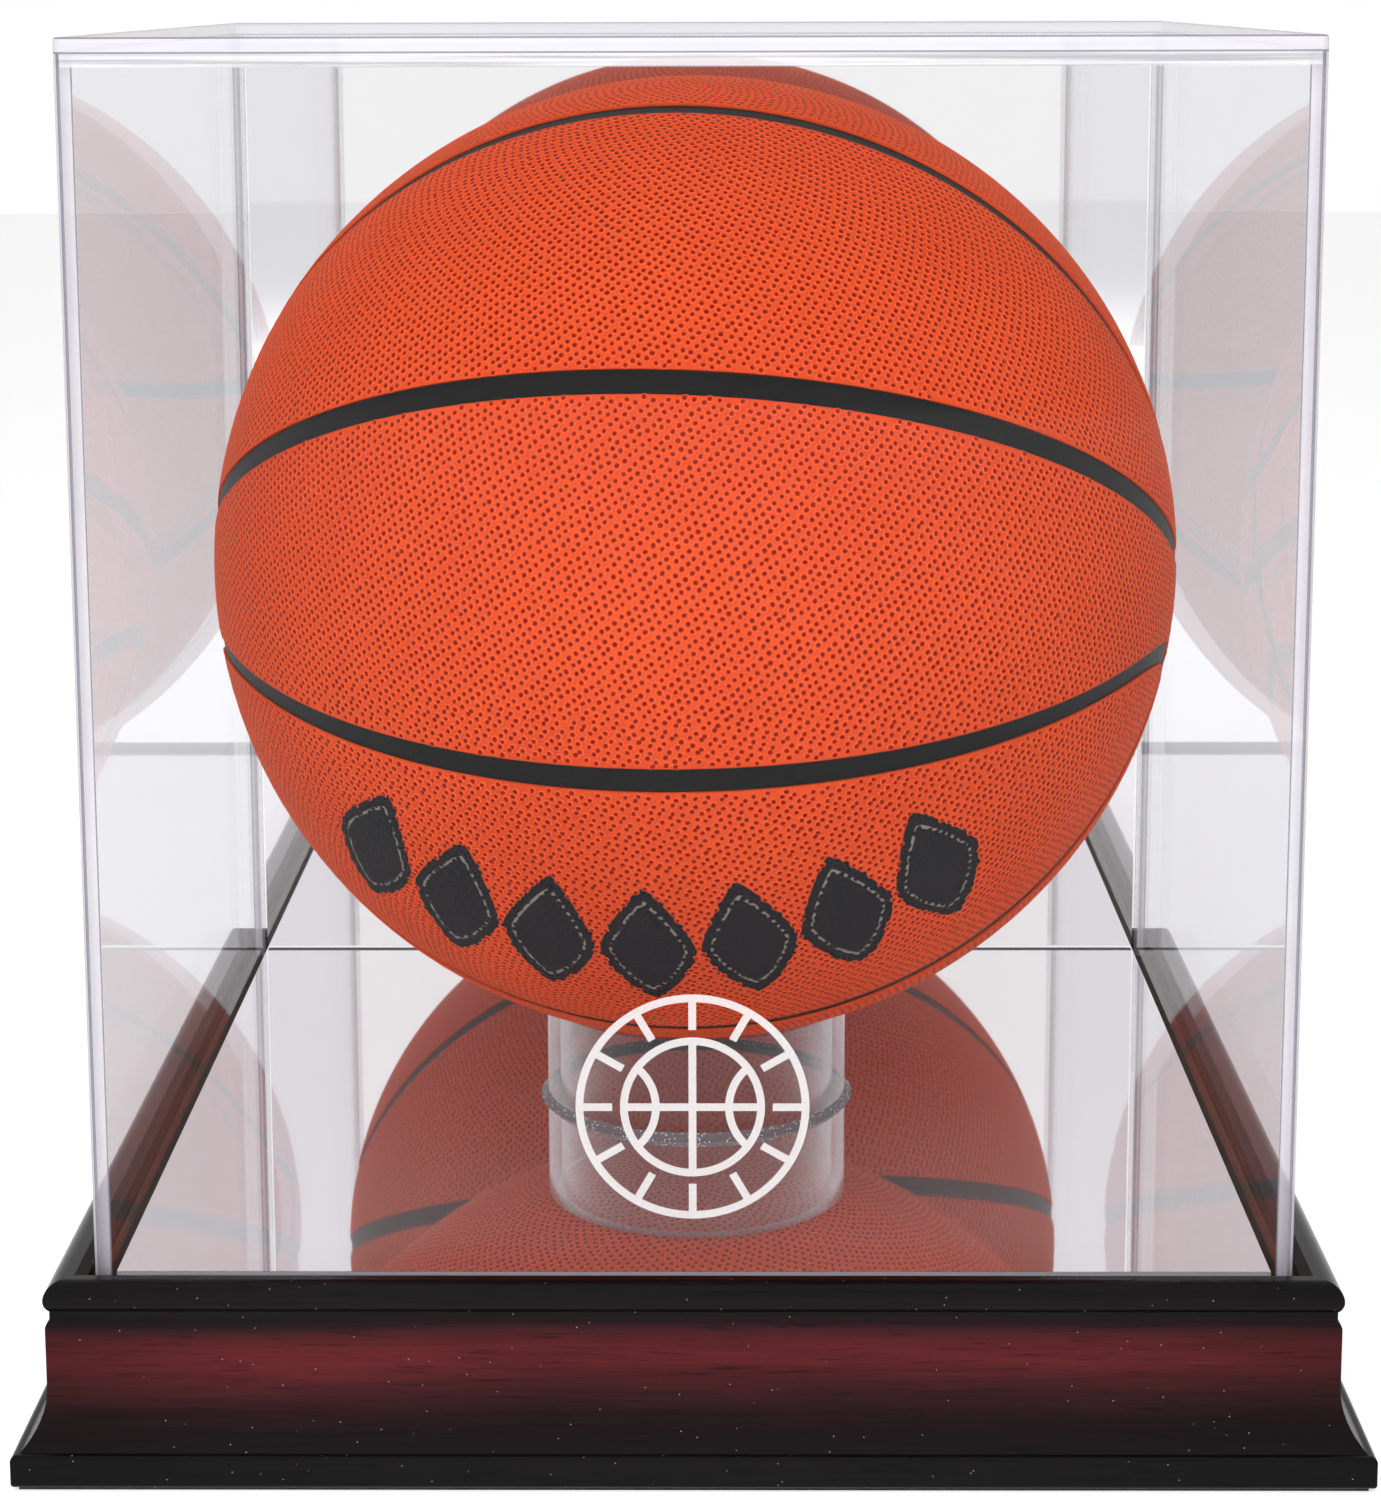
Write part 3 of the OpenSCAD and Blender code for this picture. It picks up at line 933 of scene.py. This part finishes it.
    def grow(self, panel: str, piece: str,
             dyes_and_highlights: Dict[str, bpy.types.Material]) -> bpy.types.Object:
        """Grows the pebbles of one panel as a plain mesh.

        Args:
            panel: The CAD node whose outer face they stand on.
            piece: The new piece's name.
            dyes_and_highlights: The materials, by the tree's input names.

        Returns:
            The new object, which rides on nothing yet.
        """
        source = bpy.data.objects.new(piece + "_source",
                                      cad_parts[panel].data.copy())
        bpy.context.scene.collection.objects.link(source)
        modifier = source.modifiers.new("pebbles", "NODES")
        modifier.node_group = self.tree
        given = {"Pebbles Round Ball": self.round_ball, "Jitter": self.jitter,
                 "Pebble Width": self.width, "Crown Share": self.crown,
                 "Pebble Height": self.height, "Channel Margin": self.margin,
                 "Sides": self.sides, "Seed": self.seed, **dyes_and_highlights}
        for name, value in given.items():
            modifier[self.sockets[name]] = value
        shown = source.evaluated_get(bpy.context.evaluated_depsgraph_get())
        mesh = bpy.data.meshes.new_from_object(shown)
        source.modifiers.clear()
        bpy.data.objects.remove(source)
        mesh.name = piece
        made = bpy.data.objects.new(piece, mesh)
        bpy.context.scene.collection.objects.link(made)
        return made


# ---------------------------------------------------------------- sub-assemblies


class Assembly(ABC):
    """A sub-assembly that builds its own pieces and dresses them."""

    body: Body

    @abstractmethod
    def build(self) -> List[bpy.types.Object]:
        """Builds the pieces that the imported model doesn't have, and returns them."""

    @abstractmethod
    def dress(self) -> None:
        """Puts the finishes on."""

    def make(self) -> None:
        """Builds and dresses, and logs what was made."""
        for piece in self.build():
            LOG.info("%s: %s, %d faces", self.body.value, piece.name,
                     len(piece.data.polygons))
        self.dress()
        LOG.info("%s dressed", type(self).__name__)


@dataclass
class WoodBase(Assembly):
    """The moulded base: four mitred mouldings, blocks, boards, felt and screws."""

    body: Body = Body.BASE

    def build(self) -> List[bpy.types.Object]:
        """Returns nothing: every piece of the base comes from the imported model."""
        return []

    def dress(self) -> None:
        """Stains the mouldings along their grain and finishes what is under them."""
        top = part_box("moulding_front")[1]
        StainedWood("wood_along_x", Axis.X, top.z, top.x).put_on("moulding_front",
                                                                 "moulding_back")
        StainedWood("wood_along_y", Axis.Y, top.z, top.x).put_on("moulding_left",
                                                                 "moulding_right")
        corners = [f"{a}_{b}" for a in ("front", "back") for b in ("left", "right")]
        BareWood("bare_wood").put_on(*(f"corner_block_{c}" for c in corners))
        Board("deck_fibre").put_on("deck_board")
        Board("bottom_fibre", tone(150, 112, 76), tone(104, 74, 48)).put_on("bottom_board")
        Felt("felt_black").put_on("felt_sheet")
        ScrewSteel("screw_zinc").put_on(*(f"{kind}_screw_{c}" for c in corners
                                          for kind in ("deck", "bottom")))


@dataclass
class MirrorFloor(Assembly):
    """The mirrored floor on its tape."""

    body: Body = Body.BASE

    def build(self) -> List[bpy.types.Object]:
        """Returns nothing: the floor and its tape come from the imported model."""
        return []

    def dress(self) -> None:
        """Silvers the floor and finishes its tape."""
        low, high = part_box("mirror_floor")
        MirrorSheet("floor_silver", tone(250, 247, 249), 0.12, Axis.Z,
                    (low.z + high.z) / 2, (high.z - low.z) / 2,
                    back=-1.0).put_on("mirror_floor")
        Tape("floor_tape").put_on("mirror_floor_tape")


@dataclass
class RingStand(Assembly):
    """The clear ring that the ball rests on, and its bead of cement."""

    body: Body = Body.BASE
    wall: float = 3.2 * MM

    def build(self) -> List[bpy.types.Object]:
        """Returns nothing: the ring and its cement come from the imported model."""
        return []

    def dress(self) -> None:
        """Makes the ring clear with milky edges."""
        low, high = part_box("ring_stand")
        outer = (high.x - low.x) / 2
        ClearTube("clear_tube", ((low.x + high.x) / 2, (low.y + high.y) / 2),
                  outer - self.wall / 2, self.wall / 2).put_on("ring_stand")
        Cement("cement_bead").put_on("ring_cement")


@dataclass
class ClearCover(Assembly):
    """The five clear sheets, the mirrored back and the printed roundel."""

    body: Body = Body.COVER
    sheet: float = 3.5 * MM
    glued: float = 3.0 * MM

    def build(self) -> List[bpy.types.Object]:
        """Returns nothing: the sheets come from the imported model."""
        return []

    def dress(self) -> None:
        """Makes each sheet clear across its faces and pale along its cut edges."""
        half = self.sheet / 2
        low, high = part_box("cover_top")
        for name, thin, middle, share, joint in (
                ("cover_front", Axis.Y, low.y + half, 0.12, low.z - self.glued),
                ("cover_back", Axis.Y, high.y - half, 0.7, 1.0),
                ("cover_left", Axis.X, low.x + half, 0.52, 1.0),
                ("cover_right", Axis.X, high.x - half, 0.52, 1.0),
                ("cover_top", Axis.Z, high.z - half, 0.42, 1.0)):
            ClearSheet(name + "_acrylic", thin, middle, half, share=share,
                       joint=joint).put_on(name)
        low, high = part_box("mirror_back")
        MirrorSheet("back_silver", tone(246, 245, 246), 0.05, Axis.Y,
                    (low.y + high.y) / 2, (high.y - low.y) / 2).put_on("mirror_back")
        Tape("back_tape").put_on("mirror_back_tape")
        WhitePrint("white_ink").put_on("front_emblem")


@dataclass
class PebbledBall(Assembly):
    """The ball: inner layers, rubber channels, eight leather panels and their pebbles."""

    body: Body = Body.BALL
    printed_panel: str = "panel_oval_3"

    @property
    def panels(self) -> List[str]:
        """Returns the names of the eight panels."""
        return [f"panel_{kind}_{i}" for kind in ("long", "oval") for i in range(1, 5)]

    def where(self) -> BallFrame:
        """Returns the ball's place, read from its panels."""
        boxes = [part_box(name) for name in self.panels]
        low = Vector([min(b[0][i] for b in boxes) for i in range(3)])
        high = Vector([max(b[1][i] for b in boxes) for i in range(3)])
        return BallFrame(tuple((low + high) / 2), max(high - low) / 2)

    def build(self) -> List[bpy.types.Object]:
        """Raises the pebbles of each panel and returns them."""
        ball = self.where()
        # The crowns are dyed dark; the skirts are a painted highlight, lighter than the
        # ground round each pebble and grey on the printed row.
        dyes_and_highlights = {"Crown": PebbleSkin("pebble_crown", tone(146, 24, 10)).material(),
                "Skirt": PebbleSkin("pebble_skirt_painted_highlight", tone(244, 100, 50)).material(),
                "Printed Crown": PebbleSkin("print_crown", tone(24, 24, 28)).material(),
                "Printed Skirt": PebbleSkin("print_skirt_painted_highlight", tone(52, 49, 54)).material()}
        plain, printed = PebbleField(ball), PebbleField(ball, True)
        made = []
        for panel in self.panels:
            tree = printed if panel == self.printed_panel else plain
            piece = tree.grow(panel, panel.replace("panel", "pebbles"), dyes_and_highlights)
            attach(piece, self.body.value)
            made.append(piece)
        return made

    def dress(self) -> None:
        """Colours the leather, the channels and the layers inside."""
        ball = self.where()
        Leather("leather_ground", ball).put_on(
            *(n for n in self.panels if n != self.printed_panel))
        Leather("leather_printed", ball, True).put_on(self.printed_panel)
        Rubber("channel_rubber").put_on("rib_equator", "rib_meridian", "rib_oval_top",
                                        "rib_oval_bottom", "ball_valve")
        Rubber("bladder_rubber", tone(18, 18, 18), tone(40, 38, 37)).put_on("ball_bladder")
        Thread("wound_thread").put_on("ball_carcass")


# ---------------------------------------------------------------- studio


@dataclass
class Studio:
    """A plain pale floor, soft light all round and the camera."""

    floor_half: float = 4.0
    focal: float = 3346.37
    picture: Tuple[int, int] = (1381, 1500)
    horizon: float = 570.0
    pitch: float = 0.17314
    yaw: float = -0.00841
    roll: float = 0.0025
    stand: Point = (0.00574, -0.83049, 0.32303)
    daylight: float = 1.0
    ambient: float = 0.27

    def floor(self) -> None:
        """Lays the floor."""
        mesh = bpy.data.meshes.new("floor")
        h = self.floor_half
        mesh.from_pydata([(-h, -h, 0), (h, -h, 0), (h, h, 0), (-h, h, 0)], [],
                         [(0, 1, 2, 3)])
        made = bpy.data.objects.new("floor", mesh)
        mesh.transform(Matrix.Translation((0, 0, -0.1 * MM)))
        mesh.materials.append(PaleFloor("floor_paint").material())
        bpy.context.scene.collection.objects.link(made)

    def light(self, name: str, place: Point, size: float, watts: float) -> None:
        """Hangs one soft square lamp that looks at the ball.

        Args:
            name: The lamp's name.
            place: Where it hangs.
            size: The length of its sides.
            watts: Its power.
        """
        data = bpy.data.lights.new(name, "AREA")
        data.shape, data.size, data.energy = "SQUARE", size, watts
        lamp = bpy.data.objects.new(name, data)
        lamp.location = place
        aim = Vector((0, 0, 0.16)) - Vector(place)
        lamp.rotation_euler = aim.to_track_quat("-Z", "Y").to_euler()
        lamp.visible_glossy = False
        bpy.context.scene.collection.objects.link(lamp)

    def sky(self) -> None:
        """Lights the room evenly from all round."""
        world = bpy.data.worlds.new("soft_room")
        world.use_nodes = True
        graph = Graph(world.node_tree)
        strength = self.ambient + (self.daylight - self.ambient) * shown_to_lens(graph)
        air = graph.take("ShaderNodeBackground", 0, None,
                         {0: (1.0, 1.0, 1.0, 1.0), 1: strength})
        graph.node("ShaderNodeOutputWorld", None, {"Surface": air})
        bpy.context.scene.world = world

    def camera(self) -> None:
        """Sets the camera up, with the small rise of its lens."""
        cy, sy = math.cos(self.yaw), math.sin(self.yaw)
        cp, sp = math.cos(self.pitch), math.sin(self.pitch)
        cr, sr = math.cos(self.roll), math.sin(self.roll)
        ahead = Vector((sy * cp, cy * cp, -sp))
        level = Vector((cy, -sy, 0.0))
        down = ahead.cross(level)
        right, down = cr * level + sr * down, cr * down - sr * level
        data = bpy.data.cameras.new("camera")
        width, height = self.picture
        data.lens = self.focal * data.sensor_width / max(width, height)
        data.shift_y = -(height / 2 - self.horizon) / max(width, height)
        data.clip_start, data.clip_end = 0.05, 20.0
        eye = bpy.data.objects.new("camera", data)
        turn = Matrix((right, -down, -ahead)).transposed().to_4x4()
        eye.matrix_world = Matrix.Translation(self.stand) @ turn
        bpy.context.scene.collection.objects.link(eye)
        bpy.context.scene.camera = eye

    def make(self) -> None:
        """Sets up the whole studio."""
        self.camera()
        self.floor()
        self.sky()
        self.light("key", (-0.5, -1.8, 1.2), 1.3, 20.0)
        self.light("fill", (0.5, -1.9, 0.15), 1.3, 16.0)
        self.light("top", (0.0, -0.9, 2.1), 1.4, 13.0)
        bpy.context.scene.view_settings.view_transform = "Standard"
        LOG.info("studio set")


def main() -> None:
    """Makes every sub-assembly in order, then the studio."""
    logging.basicConfig(level=logging.INFO, format="%(message)s")
    Studio().make()
    for part in (WoodBase(), MirrorFloor(), RingStand(), ClearCover(), PebbledBall()):
        part.make()


if __name__ == "__main__":
    main()
